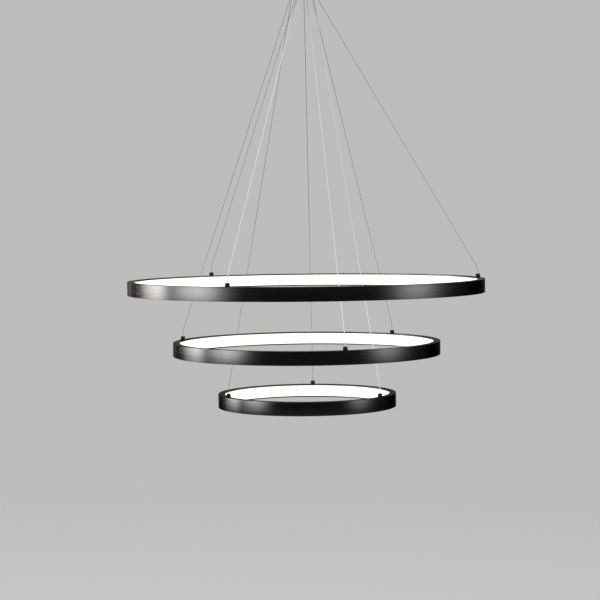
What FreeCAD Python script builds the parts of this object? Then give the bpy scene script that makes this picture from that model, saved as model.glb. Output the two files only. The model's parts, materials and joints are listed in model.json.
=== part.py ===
"""A three-tier LED ring chandelier: a canopy on the ceiling, nine suspension lines and three lit rings.

Millimetres, +Z up. The origin is the canopy's centre on the ceiling, and all of the lamp hangs below it.
Bearings are in degrees, anticlockwise from +X as seen from above. Each ring hangs on three lines 120
degrees apart. The lines of the three rings leave the canopy in one small circle of nine, 40 degrees
apart, so that each ring's lines pass between those of the others.
"""
import FreeCAD, Part
import math
import os

from FreeCAD import Vector

# Rings: outside diameter, and depth of the mid plane under the ceiling.
LARGE_DIAMETER = 800.0
LARGE_DROP = 715.0
MEDIUM_DIAMETER = 600.0
MEDIUM_DROP = 853.0
SMALL_DIAMETER = 400.0
SMALL_DROP = 970.0

# Ring section: a channel that opens towards the ring's centre.
RING_HEIGHT = 30.0
RING_WIDTH = 15.0
CHANNEL_WALL = 1.6
CHANNEL_FLANGE = 2.3
SEAM_GAP = 0.3
SEAM_AFTER_FIRST_LINE = 60.0
DIFFUSER_THICKNESS = 1.2
DIFFUSER_SETBACK = 0.8
STRIP_HEIGHT = 10.0
STRIP_THICKNESS = 1.2
STRIP_CUT_LENGTH = 50.0
CLIP_WIDTH = 11.0
CLIP_DEPTH = 7.0
CLIP_JAW = 1.4

# Suspension lines and where they are held.
LINES_PER_RING = 3
FIRST_BEARING = 5.5
WIRE_DIAMETER = 1.2
CABLE_DIAMETER = 2.0
EXIT_CIRCLE_DIAMETER = 53.0
EXIT_RUN = 8.0
ANCHOR_RUN = 12.0
ANCHOR_DIAMETER = 10.0
ANCHOR_HEIGHT = 8.0
STUD_DIAMETER = 5.0
STUD_REACH = 4.5
ANCHOR_NUT_FLATS = 8.0
ANCHOR_NUT_HEIGHT = 2.5

# Grips under the canopy's floor: a hexagonal body with a threaded stub, held by a nut above the floor.
GRIP_FLATS = 10.0
GRIP_STUB_DIAMETER = 8.0
GRIP_BELOW_FLOOR = 12.5
GRIP_ABOVE_FLOOR = 4.5
GRIP_NUT_FLATS = 13.0
GRIP_NUT_HEIGHT = 3.0
PLUNGER_DIAMETER = 4.6
PLUNGER_REACH = 3.5
PLUNGER_SHANK = 8.0
PLUNGER_TRAVEL = 2.0
PLUNGER_STOP_GAP = 0.3
CABLE_CAP_FLATS = 8.0
CABLE_CAP_HEIGHT = 8.0

# Canopy and the bracket that it hangs from.
CANOPY_DIAMETER = 240.0
CANOPY_HEIGHT = 40.0
CANOPY_WALL = 1.2
BRACKET_WIDTH = 30.0
BRACKET_THICKNESS = 1.5
BRACKET_TAB = 20.0
BRACKET_END_GAP = 0.3
SLOT_SPACING = 70.0
SLOT_LENGTH = 20.0
SLOT_WIDTH = 5.0
MAINS_HOLE_DIAMETER = 14.0
SIDE_SCREW_DEPTH = 12.0
SIDE_SCREW_DIAMETER = 4.0
SIDE_SCREW_HEAD_DIAMETER = 9.0
SIDE_SCREW_HEAD_HEIGHT = 5.0
SIDE_SCREW_REACH = 9.0

# LED driver on the canopy's floor, held by two bent tabs, and the mains terminals.
DRIVER_LENGTH = 140.0
DRIVER_WIDTH = 38.0
DRIVER_HEIGHT = 26.0
DRIVER_FRONT = 48.0
DRIVER_WALL = 1.6
DRIVER_LEDGE = 3.0
BOARD_THICKNESS = 1.6
TAB_HEIGHT = 14.0
TAB_WIDTH = 16.0
TAB_THICKNESS = 1.2
OUTPUT_TERMINALS = (-18.0, 30.0)
MAINS_TERMINALS = (50.0, 68.0)
TERMINAL_HEIGHT = 6.0
TERMINAL_DEPTH = 9.0
BLOCK_LENGTH = 22.0
BLOCK_WIDTH = 16.0
BLOCK_HEIGHT = 14.0
BLOCK_X = 71.0
RIDGE_WIDTH = 2.0
RIDGE_HEIGHT = 1.5
POLE_SPACING = 6.0
LEAD_DIAMETER = 2.2
LEAD_EXIT_RUN = 10.0
TAIL_RISE = 9.0

# Blocks on the driver's board: length, width and height, the X of each middle, and the gap behind them.
TRANSFORMER_SIZE = (26.0, 22.0, 15.0)
TRANSFORMER_X = -29.0
COIL_SIZE = (16.0, 14.0, 12.0)
COIL_X = 24.0
CAPACITOR_SIZE = (10.0, 10.0, 16.0)
CAPACITORS_X = (0.0, 48.0)
BLOCKS_BEHIND = 3.0

# Clearances: between fixed pieces that fit each other, and round a shaft or thread.
FIT_GAP = 0.1
SHAFT_GAP = 0.08

# Small round pieces are drawn with flat sides: threads with their nuts and holes, barrels, and cables.
THREAD_SIDES = 8
KNURL_SIDES = 16
LINE_SIDES = 6
LEAD_SIDES = 4
CORNER_SHARE = 0.45
CUT_MARGIN = 1.0

EXIT_RADIUS = EXIT_CIRCLE_DIAMETER / 2
HALF_HEIGHT = RING_HEIGHT / 2
FLOOR_TOP = -CANOPY_HEIGHT + CANOPY_WALL
GRIP_TOP = FLOOR_TOP + GRIP_ABOVE_FLOOR
GRIP_BOTTOM = -CANOPY_HEIGHT - GRIP_BELOW_FLOOR
LINE_TOP = GRIP_BOTTOM - PLUNGER_REACH
UNDER_FLANGE = HALF_HEIGHT - CHANNEL_FLANGE
STUD_END = UNDER_FLANGE - STUD_REACH
LID_BOTTOM = FLOOR_TOP + DRIVER_HEIGHT - DRIVER_WALL
TERMINAL_TOP = LID_BOTTOM - FIT_GAP
TERMINAL_MIDDLE = TERMINAL_TOP - TERMINAL_HEIGHT / 2
BLOCK_MIDDLE = -BRACKET_THICKNESS - BLOCK_HEIGHT / 2

RINGS = (
    ("large", LARGE_DIAMETER, LARGE_DROP),
    ("medium", MEDIUM_DIAMETER, MEDIUM_DROP),
    ("small", SMALL_DIAMETER, SMALL_DROP),
)
LINE_PITCH = 360 / (LINES_PER_RING * len(RINGS))
RING_LINE_PITCH = 360 / LINES_PER_RING


def save(node, shape):
    """Writes one node, after a look at its solids."""
    for solid in shape.Solids:
        if not solid.isValid() or solid.Volume <= 0:
            raise ValueError("bad solid in " + node)
    print(f"{node}: {len(shape.Solids)} solids, {shape.Volume:.0f} mm3")
    shape.exportStep(f"parts/{node}.step")


def lathe(outline):
    """A solid of revolution about Z from its closed outline of (radius, height) points."""
    points = [Vector(radius, 0, height) for radius, height in outline]
    face = Part.Face(Part.makePolygon(points + points[:1]))
    return face.revolve(Vector(), Vector(0, 0, 1), 360)


def box(low, high):
    """An upright box between two opposite corners."""
    size = Vector(*high) - Vector(*low)
    return Part.makeBox(size.x, size.y, size.z, Vector(*low))


def regular_prism(sides, corner_radius, bottom, top, turn=0.0):
    """An upright prism on a regular polygon about Z."""
    corners = [turned(Vector(corner_radius, 0, bottom), turn + 360 * i / sides) for i in range(sides)]
    face = Part.Face(Part.makePolygon(corners + corners[:1]))
    return face.extrude(Vector(0, 0, top - bottom))


def hex_prism(flats, bottom, top):
    """A hexagonal prism by its size across flats."""
    return regular_prism(6, flats / 2 / math.cos(math.pi / 6), bottom, top)


def thread(diameter, bottom, top):
    """A small shaft or thread, with its corners on the diameter."""
    return regular_prism(THREAD_SIDES, diameter / 2, bottom, top)


def thread_hole(diameter, bottom, top):
    """The hole for such a thread: its flats clear the thread's corners."""
    corner_radius = (diameter / 2 + SHAFT_GAP) / math.cos(math.pi / THREAD_SIDES)
    return regular_prism(THREAD_SIDES, corner_radius, bottom, top)


def hex_nut(flats, thread_diameter, bottom, top):
    """A nut for such a thread."""
    return hex_prism(flats, bottom, top).cut(thread_hole(thread_diameter, bottom, top))


def turned(item, bearing):
    """A copy of a vector or a shape, turned about Z from bearing 0."""
    if isinstance(item, Vector):
        return FreeCAD.Rotation(Vector(0, 0, 1), bearing).multVec(item)
    copy = item.copy()
    copy.rotate(Vector(), Vector(0, 0, 1), bearing)
    return copy


def moved(shape, x=0.0, y=0.0, z=0.0):
    """A copy of a shape, moved."""
    copy = shape.copy()
    copy.translate(Vector(x, y, z))
    return copy


def round_the_axis(shape, radius, bearings):
    """Copies of a shape made on the Z axis, set out on a circle."""
    return Part.makeCompound([turned(moved(shape, radius), bearing) for bearing in bearings])


def corner_arc(before, point, after):
    """Start, middle and end of the tangent arc at a corner of a route, and its radius."""
    back = before - point
    ahead = after - point
    half_turn = (math.pi - back.getAngle(ahead)) / 2
    reach = CORNER_SHARE * min(back.Length, ahead.Length)
    radius = reach / math.tan(half_turn)
    back.normalize()
    ahead.normalize()
    inward = (back + ahead).normalize()
    middle = point + inward * (radius / math.cos(half_turn) - radius)
    return point + back * reach, middle, point + ahead * reach, radius


def tube(name, route, diameter, sides):
    """A flat-sided tube along straight runs joined by tangent arcs, with its corners on the diameter."""
    edges = []
    radii = []
    here = route[0]
    for before, point, after in zip(route, route[1:], route[2:]):
        start, middle, end, radius = corner_arc(before, point, after)
        edges.append(Part.LineSegment(here, start).toShape())
        edges.append(Part.Arc(start, middle, end).toShape())
        radii.append(radius)
        here = end
    edges.append(Part.LineSegment(here, route[-1]).toShape())
    path = Part.Wire(edges)
    facing = FreeCAD.Rotation(Vector(0, 0, 1), route[1] - route[0])
    spokes = [turned(Vector(diameter / 2, 0, 0), 360 * i / sides) for i in range(sides)]
    corners = [route[0] + facing.multVec(spoke) for spoke in spokes]
    section = Part.makePolygon(corners + corners[:1])
    solid = path.makePipeShell([section], True, False)
    if solid.Volume < 0:
        solid.reverse()
    expected = Part.Face(section).Area * path.Length
    radii_text = ", ".join(f"{radius:.1f}" for radius in radii)
    share = solid.Volume / expected
    print(f"{name}: length {path.Length:.1f}, radii {radii_text}, volume {share:.4f} of section times length")
    return solid


def line_bearings(ring_index):
    """The bearings of one ring's lines; the last is its feed cable."""
    first = FIRST_BEARING + ring_index * LINE_PITCH
    return [first + RING_LINE_PITCH * i for i in range(LINES_PER_RING)]


def seam_cutter(outer, bearing):
    """A thin slab across the ring's section, where the bent channel's two ends meet."""
    low = (outer - RING_WIDTH - CUT_MARGIN, -SEAM_GAP / 2, -HALF_HEIGHT - CUT_MARGIN)
    high = (outer + CUT_MARGIN, SEAM_GAP / 2, HALF_HEIGHT + CUT_MARGIN)
    return turned(box(low, high), bearing)


def ring_channel(outer, bearings):
    """The bent aluminium channel, open towards the centre, with its seam and the stud holes."""
    inner = outer - RING_WIDTH
    wall = outer - CHANNEL_WALL
    outline = [
        (outer, -HALF_HEIGHT), (outer, HALF_HEIGHT), (inner, HALF_HEIGHT), (inner, UNDER_FLANGE),
        (wall, UNDER_FLANGE), (wall, -UNDER_FLANGE), (inner, -UNDER_FLANGE), (inner, -HALF_HEIGHT),
    ]
    drill = thread_hole(STUD_DIAMETER, UNDER_FLANGE - CUT_MARGIN, HALF_HEIGHT + CUT_MARGIN)
    holes = round_the_axis(drill, outer - RING_WIDTH / 2, bearings)
    return lathe(outline).cut(holes).cut(seam_cutter(outer, bearings[0] + SEAM_AFTER_FIRST_LINE))


def ring_diffuser(outer, bearings):
    """The opal band pressed between the channel's flanges."""
    face = outer - RING_WIDTH + DIFFUSER_SETBACK
    back = face + DIFFUSER_THICKNESS
    half = UNDER_FLANGE - FIT_GAP
    band = lathe([(face, -half), (back, -half), (back, half), (face, half)])
    return band.cut(seam_cutter(outer, bearings[0] + SEAM_AFTER_FIRST_LINE))


def strip_flats(outer):
    """How many flat cut lengths the LED strip has round the ring, and the radius of its outer corners."""
    corner_radius = outer - CHANNEL_WALL - FIT_GAP
    return round(2 * math.pi * corner_radius / STRIP_CUT_LENGTH), corner_radius


def strip_face(outer):
    """Distance from the ring's axis to the lit face in the middle of one flat length."""
    flats, corner_radius = strip_flats(outer)
    return corner_radius * math.cos(math.pi / flats) - STRIP_THICKNESS


def ring_led_strip(outer, bearings):
    """The LED strip on the channel's wall: flat cut lengths, one of them centred on the feed cable."""
    flats, corner_radius = strip_flats(outer)
    turn = bearings[-1] + 180 / flats
    half = STRIP_HEIGHT / 2
    inner_radius = strip_face(outer) / math.cos(math.pi / flats)
    inside = regular_prism(flats, inner_radius, -half - CUT_MARGIN, half + CUT_MARGIN, turn)
    strip = regular_prism(flats, corner_radius, -half, half, turn).cut(inside)
    return strip.cut(seam_cutter(outer, bearings[0] + SEAM_AFTER_FIRST_LINE))


def ring_strip_clip(outer, bearings):
    """The plastic clip that joins the feed to the strip: a block under the stud, with two jaws."""
    face = strip_face(outer)
    block_face = face - FIT_GAP
    side = CLIP_WIDTH / 2
    half = STRIP_HEIGHT / 2 + FIT_GAP
    clip = box((block_face - CLIP_DEPTH, -side, -half - CLIP_JAW), (block_face, side, STUD_END))
    for bottom in (half, -half - CLIP_JAW):
        clip = clip.fuse(box((block_face, -side, bottom), (face + STRIP_THICKNESS, side, bottom + CLIP_JAW)))
    return turned(clip, bearings[-1])


def ring_anchors(outer, bearings):
    """Barrels that hold the lines' lower ends, each with a stud through the top flange."""
    barrel = regular_prism(KNURL_SIDES, ANCHOR_DIAMETER / 2, HALF_HEIGHT, HALF_HEIGHT + ANCHOR_HEIGHT)
    anchor = barrel.fuse(thread(STUD_DIAMETER, STUD_END, HALF_HEIGHT))
    return round_the_axis(anchor, outer - RING_WIDTH / 2, bearings)


def ring_anchor_nuts(outer, bearings):
    """The nuts on the studs, inside the channel."""
    nut = hex_nut(ANCHOR_NUT_FLATS, STUD_DIAMETER, UNDER_FLANGE - ANCHOR_NUT_HEIGHT, UNDER_FLANGE)
    return round_the_axis(nut, outer - RING_WIDTH / 2, bearings)


def line_route(outer, drop, bearing):
    """A line's route: down out of its grip, straight across to its ring, down onto its anchor."""
    exit_point = turned(Vector(EXIT_RADIUS, 0, 0), bearing)
    anchor_point = turned(Vector(outer - RING_WIDTH / 2, 0, 0), bearing)
    line_end = HALF_HEIGHT + ANCHOR_HEIGHT - drop
    return [
        exit_point + Vector(0, 0, LINE_TOP),
        exit_point + Vector(0, 0, LINE_TOP - EXIT_RUN),
        anchor_point + Vector(0, 0, line_end + ANCHOR_RUN),
        anchor_point + Vector(0, 0, line_end),
    ]


def canopy_shell():
    """The round dish: nine grip holes in its floor, two side screw holes, two tabs for the driver."""
    outer = CANOPY_DIAMETER / 2
    inner = outer - CANOPY_WALL
    shell = lathe([
        (0, -CANOPY_HEIGHT), (outer, -CANOPY_HEIGHT), (outer, 0),
        (inner, 0), (inner, FLOOR_TOP), (0, FLOOR_TOP),
    ])
    grip_hole = thread_hole(GRIP_STUB_DIAMETER, -CANOPY_HEIGHT - CUT_MARGIN, FLOOR_TOP + CUT_MARGIN)
    all_bearings = [bearing for index in range(len(RINGS)) for bearing in line_bearings(index)]
    shell = shell.cut(round_the_axis(grip_hole, EXIT_RADIUS, all_bearings)).cut(side_screw_drill())
    for side in (-1, 1):
        near = side * (DRIVER_LENGTH / 2 + FIT_GAP)
        far = near + side * TAB_THICKNESS
        middle = -DRIVER_FRONT - DRIVER_WIDTH / 2
        low = (min(near, far), middle - TAB_WIDTH / 2, FLOOR_TOP)
        high = (max(near, far), middle + TAB_WIDTH / 2, FLOOR_TOP + TAB_HEIGHT)
        shell = shell.fuse(box(low, high))
    return shell


def ceiling_bracket():
    """The steel strip on the ceiling: two screw slots, the mains hole, and an end tab at each side."""
    half_width = BRACKET_WIDTH / 2
    inside = CANOPY_DIAMETER / 2 - CANOPY_WALL
    half_length = math.sqrt(inside ** 2 - half_width ** 2) - BRACKET_END_GAP
    bracket = box((-half_length, -half_width, -BRACKET_THICKNESS), (half_length, half_width, 0))
    for side in (-1, 1):
        ends = sorted((side * half_length, side * (half_length - BRACKET_THICKNESS)))
        bracket = bracket.fuse(box((ends[0], -half_width, -BRACKET_TAB), (ends[1], half_width, 0)))
        bracket = bracket.cut(slot_cutter(side * SLOT_SPACING / 2))
    mains_hole = Part.makeCylinder(MAINS_HOLE_DIAMETER / 2, BRACKET_THICKNESS + 2 * CUT_MARGIN)
    mains_hole.translate(Vector(0, 0, -BRACKET_THICKNESS - CUT_MARGIN))
    return bracket.cut(side_screw_drill()).cut(mains_hole)


def along_x(shape, x):
    """An upright shape laid over to point along +X, at the side screws' depth."""
    shape.rotate(Vector(), Vector(0, 1, 0), 90)
    shape.translate(Vector(x, 0, -SIDE_SCREW_DEPTH))
    return shape


def side_screw_drill():
    """One long drill for both side screws, through the canopy's wall and the bracket's tabs."""
    reach = CANOPY_DIAMETER / 2 + CUT_MARGIN
    return along_x(thread_hole(SIDE_SCREW_DIAMETER, -reach, reach), 0)


def slot_cutter(x):
    """A round-ended slot along X through the bracket's strip."""
    radius = SLOT_WIDTH / 2
    reach = SLOT_LENGTH / 2 - radius
    bottom = -BRACKET_THICKNESS - CUT_MARGIN
    depth = BRACKET_THICKNESS + 2 * CUT_MARGIN
    cutter = box((x - reach, -radius, bottom), (x + reach, radius, bottom + depth))
    for end in (x - reach, x + reach):
        cutter = cutter.fuse(Part.makeCylinder(radius, depth, Vector(end, 0, bottom)))
    return cutter


def canopy_screws():
    """Two thumb screws through the canopy's wall into the bracket's tabs."""
    head = regular_prism(KNURL_SIDES, SIDE_SCREW_HEAD_DIAMETER / 2, 0, SIDE_SCREW_HEAD_HEIGHT)
    screw = along_x(head.fuse(thread(SIDE_SCREW_DIAMETER, -SIDE_SCREW_REACH, 0)), CANOPY_DIAMETER / 2)
    return Part.makeCompound([screw, turned(screw, 180)])


def grip_body(bottom):
    """A grip's hexagonal body up to the canopy's underside, and its stub through the floor."""
    stub = thread(GRIP_STUB_DIAMETER, -CANOPY_HEIGHT, GRIP_TOP)
    return hex_prism(GRIP_FLATS, bottom, -CANOPY_HEIGHT).fuse(stub)


def wire_grips(bearings):
    """The steel wires' grips, each bored from below for its plunger."""
    bore_top = GRIP_BOTTOM + PLUNGER_SHANK + PLUNGER_TRAVEL + PLUNGER_STOP_GAP
    bore = thread_hole(PLUNGER_DIAMETER, GRIP_BOTTOM - CUT_MARGIN, bore_top)
    return round_the_axis(grip_body(GRIP_BOTTOM).cut(bore), EXIT_RADIUS, bearings)


def plunger(bearing):
    """The sprung nozzle of a wire grip: pushed up, it lets go of the wire."""
    nozzle = thread(PLUNGER_DIAMETER, LINE_TOP, LINE_TOP + PLUNGER_REACH + PLUNGER_SHANK)
    return round_the_axis(nozzle, EXIT_RADIUS, [bearing])


def cable_grips(bearings):
    """The feed cables' grips."""
    return round_the_axis(grip_body(LINE_TOP + CABLE_CAP_HEIGHT), EXIT_RADIUS, bearings)


def cable_grip_caps(bearings):
    """The hexagonal caps that squeeze the feed cables."""
    cap = hex_prism(CABLE_CAP_FLATS, LINE_TOP, LINE_TOP + CABLE_CAP_HEIGHT)
    return round_the_axis(cap, EXIT_RADIUS, bearings)


def grip_nuts(bearings):
    """One nut on each grip, on the upper side of the canopy's floor."""
    nut = hex_nut(GRIP_NUT_FLATS, GRIP_STUB_DIAMETER, FLOOR_TOP, FLOOR_TOP + GRIP_NUT_HEIGHT)
    return round_the_axis(nut, EXIT_RADIUS, bearings)


def terminal_rows(gap, bottom, top):
    """Boxes at the driver's front wall, one for each row of terminals, wider by a gap at both ends."""
    rows = []
    for left, right in (OUTPUT_TERMINALS, MAINS_TERMINALS):
        low = (left - gap, -DRIVER_FRONT - TERMINAL_DEPTH, bottom)
        rows.append(box(low, (right + gap, -DRIVER_FRONT, top)))
    return rows


def driver_case():
    """The driver's tray with two inner ledges for its board and notches for its terminals."""
    half = DRIVER_LENGTH / 2
    back = -DRIVER_FRONT - DRIVER_WIDTH
    floor = FLOOR_TOP + DRIVER_WALL
    inside = half - DRIVER_WALL
    low = (-inside, back + DRIVER_WALL, floor)
    hollow = box(low, (inside, -DRIVER_FRONT - DRIVER_WALL, LID_BOTTOM + CUT_MARGIN))
    case = box((-half, back, FLOOR_TOP), (half, -DRIVER_FRONT, LID_BOTTOM)).cut(hollow)
    for side in (-1, 1):
        ends = sorted((side * inside, side * (inside - DRIVER_LEDGE)))
        case = case.fuse(box((ends[0], back, FLOOR_TOP), (ends[1], -DRIVER_FRONT, floor + DRIVER_LEDGE)))
    notch_bottom = TERMINAL_TOP - TERMINAL_HEIGHT - FIT_GAP
    for notch in terminal_rows(FIT_GAP, notch_bottom, LID_BOTTOM + CUT_MARGIN):
        case = case.cut(notch)
    return case


def driver_lid():
    """The flat lid on the driver's tray."""
    half = DRIVER_LENGTH / 2
    low = (-half, -DRIVER_FRONT - DRIVER_WIDTH, LID_BOTTOM)
    return box(low, (half, -DRIVER_FRONT, LID_BOTTOM + DRIVER_WALL))


def driver_board():
    """The driver's circuit board with its transformer, coil, capacitors and terminal rows."""
    inset = DRIVER_WALL + FIT_GAP
    half = DRIVER_LENGTH / 2 - inset
    back = -DRIVER_FRONT - DRIVER_WIDTH + inset
    front = -DRIVER_FRONT - inset
    bottom = FLOOR_TOP + DRIVER_WALL + DRIVER_LEDGE
    top = bottom + BOARD_THICKNESS
    board = box((-half, back, bottom), (half, front, top))
    blocks = [(TRANSFORMER_X, TRANSFORMER_SIZE), (COIL_X, COIL_SIZE)]
    blocks += [(x, CAPACITOR_SIZE) for x in CAPACITORS_X]
    for x, (length, width, height) in blocks:
        low = (x - length / 2, back + BLOCKS_BEHIND, top)
        board = board.fuse(box(low, (x + length / 2, back + BLOCKS_BEHIND + width, top + height)))
    for row in terminal_rows(0, TERMINAL_TOP - TERMINAL_HEIGHT, TERMINAL_TOP):
        limits = row.BoundBox
        feet = box((limits.XMin, limits.YMin, top), (limits.XMax, front, limits.ZMax))
        board = board.fuse(row).fuse(feet)
    return board


def terminal_block():
    """The mains terminal block under the bracket, with a ridge between its poles."""
    end = BLOCK_LENGTH / 2
    bottom = -BRACKET_THICKNESS - BLOCK_HEIGHT
    block = box((-BLOCK_WIDTH / 2, -end, bottom), (BLOCK_WIDTH / 2, end, -BRACKET_THICKNESS))
    ridge = box((-RIDGE_WIDTH / 2, -end, bottom - RIDGE_HEIGHT), (RIDGE_WIDTH / 2, end, bottom))
    return moved(block.fuse(ridge), BLOCK_X)


def mains_leads():
    """Two leads from the terminal block to the driver."""
    leads = []
    for offset in (-POLE_SPACING / 2, POLE_SPACING / 2):
        start = Vector(BLOCK_X + offset, -BLOCK_LENGTH / 2, BLOCK_MIDDLE)
        end = Vector(sum(MAINS_TERMINALS) / 2 + offset, -DRIVER_FRONT, TERMINAL_MIDDLE)
        run = Vector(0, LEAD_EXIT_RUN, 0)
        leads.append(tube("mains lead", [start, start - run, end + run, end], LEAD_DIAMETER, LEAD_SIDES))
    return Part.makeCompound(leads)


def feed_tails(bearings):
    """The feed cables' upper ends: up out of their grips, over at 45 degrees, level to the driver."""
    tails = []
    for bearing in bearings:
        foot = turned(Vector(EXIT_RADIUS, 0, GRIP_TOP), bearing)
        first_bend = foot + Vector(0, 0, TAIL_RISE)
        slant = TERMINAL_MIDDLE - first_bend.z
        route = [
            foot,
            first_bend,
            first_bend + Vector(0, -slant, slant),
            Vector(foot.x, -DRIVER_FRONT, TERMINAL_MIDDLE),
        ]
        tails.append(tube("feed tail", route, CABLE_DIAMETER, LEAD_SIDES))
    return Part.makeCompound(tails)


def build_canopy():
    """Everything on the ceiling, down to the grips."""
    wires = [bearing for index in range(len(RINGS)) for bearing in line_bearings(index)[:-1]]
    feeds = [line_bearings(index)[-1] for index in range(len(RINGS))]
    save("ceiling_bracket", ceiling_bracket())
    save("canopy_shell", canopy_shell())
    save("canopy_screws", canopy_screws())
    save("wire_grips", wire_grips(wires))
    save("cable_grips", cable_grips(feeds))
    save("cable_grip_caps", cable_grip_caps(feeds))
    save("grip_nuts", grip_nuts(wires + feeds))
    save("driver_case", driver_case())
    save("driver_lid", driver_lid())
    save("driver_board", driver_board())
    save("terminal_block", terminal_block())
    save("mains_leads", mains_leads())
    save("feed_tails", feed_tails(feeds))


def build_ring(index, name, diameter, drop):
    """One lit ring with its three lines and the plungers of its two wires."""
    outer = diameter / 2
    bearings = line_bearings(index)
    pieces = {
        "channel": ring_channel,
        "diffuser": ring_diffuser,
        "led_strip": ring_led_strip,
        "strip_clip": ring_strip_clip,
        "anchors": ring_anchors,
        "anchor_nuts": ring_anchor_nuts,
    }
    for piece, make in pieces.items():
        save(f"{name}_{piece}", moved(make(outer, bearings), z=-drop))
    for count, bearing in enumerate(bearings[:-1], 1):
        node = f"{name}_wire_{count}"
        save(node, tube(node, line_route(outer, drop, bearing), WIRE_DIAMETER, LINE_SIDES))
        save(f"{name}_plunger_{count}", plunger(bearing))
    cable = f"{name}_feed_cable"
    save(cable, tube(cable, line_route(outer, drop, bearings[-1]), CABLE_DIAMETER, LINE_SIDES))


os.makedirs("parts", exist_ok=True)
build_canopy()
for ring_index, (ring_name, ring_diameter, ring_drop) in enumerate(RINGS):
    build_ring(ring_index, ring_name, ring_diameter, ring_drop)
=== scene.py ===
"""The looks of a three-tier LED ring chandelier, piece by piece from the ceiling down to the rings.

Lengths are in metres and angles in degrees, with +Z up. The origin is the canopy's centre on the ceiling,
and everything hangs below it. Bearings run anticlockwise from +X as seen from above.
"""

import json
import math

import bmesh
import bpy
import numpy as np
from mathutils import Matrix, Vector

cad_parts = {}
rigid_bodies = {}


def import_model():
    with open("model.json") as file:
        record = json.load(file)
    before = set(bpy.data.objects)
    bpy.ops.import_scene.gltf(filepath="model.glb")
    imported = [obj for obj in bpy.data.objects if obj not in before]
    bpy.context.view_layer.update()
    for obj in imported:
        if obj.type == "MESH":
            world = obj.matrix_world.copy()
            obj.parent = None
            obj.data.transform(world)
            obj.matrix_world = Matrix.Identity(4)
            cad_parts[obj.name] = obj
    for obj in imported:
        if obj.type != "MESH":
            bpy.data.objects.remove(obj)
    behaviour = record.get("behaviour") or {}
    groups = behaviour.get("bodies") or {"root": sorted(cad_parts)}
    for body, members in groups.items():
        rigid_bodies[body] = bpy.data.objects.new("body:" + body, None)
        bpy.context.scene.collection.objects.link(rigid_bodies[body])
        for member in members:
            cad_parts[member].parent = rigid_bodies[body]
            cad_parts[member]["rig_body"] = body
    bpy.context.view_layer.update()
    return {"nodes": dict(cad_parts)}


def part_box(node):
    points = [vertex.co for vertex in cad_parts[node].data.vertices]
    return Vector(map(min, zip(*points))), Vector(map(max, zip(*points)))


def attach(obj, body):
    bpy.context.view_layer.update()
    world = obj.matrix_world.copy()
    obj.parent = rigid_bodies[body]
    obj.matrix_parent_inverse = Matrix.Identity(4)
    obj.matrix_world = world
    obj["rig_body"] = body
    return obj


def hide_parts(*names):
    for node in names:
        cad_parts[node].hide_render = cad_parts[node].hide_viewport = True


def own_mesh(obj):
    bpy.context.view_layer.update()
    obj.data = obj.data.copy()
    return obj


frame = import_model()


# ---------------------------------------------------------------------------------------------------------
# The ceiling bracket: a folded strip of zinc-plated steel, punched for two ceiling screws and the mains
# cable, with a tapped tab at each end. The sheared edges are slightly round and the plating is spangled.

CORNERS_MEET_WITHIN = 1e-6
FLAT_WITHIN = 0.5
SHARP_ABOVE = 35.0
BEVEL_SEGMENTS = 2


class Value:
    """One output of a node in a material. Sums, differences and products of these become Math nodes."""

    def __init__(self, tree, socket=None):
        self.tree = tree
        self.socket = socket

    def node(self, kind, settings=(), sockets=(), output=0):
        """Adds a node. Its settings come first, a ramp's stops among them, then its sockets."""
        made = self.tree.nodes.new(kind)
        for name, setting in dict(settings).items():
            if name == "stops":
                for place, level in setting[1:-1]:
                    made.color_ramp.elements.new(place)
                for element, (place, level) in zip(made.color_ramp.elements, setting):
                    element.position = place
                    element.color = (level, level, level, 1)
            else:
                setattr(made, name, setting)
        for name, value in dict(sockets).items():
            if isinstance(value, Value):
                self.tree.links.new(value.socket, made.inputs[name])
            else:
                made.inputs[name].default_value = value
        return Value(self.tree, made.outputs[output])

    def maths(self, operation, first, second=0.0):
        return self.node("ShaderNodeMath", {"operation": operation}, {0: first, 1: second})

    def __add__(self, other):
        return self.maths("ADD", self, other)

    def __sub__(self, other):
        return self.maths("SUBTRACT", self, other)

    def __rsub__(self, other):
        return self.maths("SUBTRACT", other, self)

    def __mul__(self, other):
        return self.maths("MULTIPLY", self, other)

    __radd__ = __add__
    __rmul__ = __mul__

    def noise(self, where, scale, detail=3.0):
        """Cloudy noise from 0 to 1, with an average of one half."""
        sockets = {"Vector": where, "Scale": scale, "Detail": detail, "Roughness": 0.5}
        return self.node("ShaderNodeTexNoise", {}, sockets)

    def blend(self, share, first, second):
        """The first colour where share is 0 and the second where it is 1."""
        sockets = {0: share, 6: first, 7: second}
        return self.node("ShaderNodeMix", {"data_type": "RGBA"}, sockets, output=2)

    def rise(self, value, low, high):
        """A smooth step from 0 where the value is low to 1 where it is high."""
        sockets = {"Value": value, "From Min": low, "From Max": high}
        return self.node("ShaderNodeMapRange", {"interpolation_type": "SMOOTHSTEP"}, sockets)

    def place(self):
        """The point's own position on the object, in metres."""
        return self.node("ShaderNodeTexCoord", output=3)

    def pattern(self):
        """The point's pattern place: along the surface, and across or around it."""
        return self.node("ShaderNodeUVMap", {"uv_map": "pattern"})

    def axis(self, where, number):
        """One coordinate of a place: 0 for X, 1 for Y, 2 for Z."""
        return self.node("ShaderNodeSeparateXYZ", {}, {"Vector": where}, output=number)

    def stretched(self, where, stretch):
        """A place with each of its axes multiplied by a number of its own."""
        return self.node("ShaderNodeVectorMath", {"operation": "MULTIPLY"}, {0: where, 1: stretch})


def new_finish(name, **constants):
    """A material with one Principled shader: the material, its shader and a Value to start sums from."""
    material = bpy.data.materials.new(name)
    material.use_nodes = True
    shader = material.node_tree.nodes["Principled BSDF"]
    for socket, constant in constants.items():
        shader.inputs[socket.replace("_", " ")].default_value = constant
    return material, shader, Value(material.node_tree)


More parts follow.
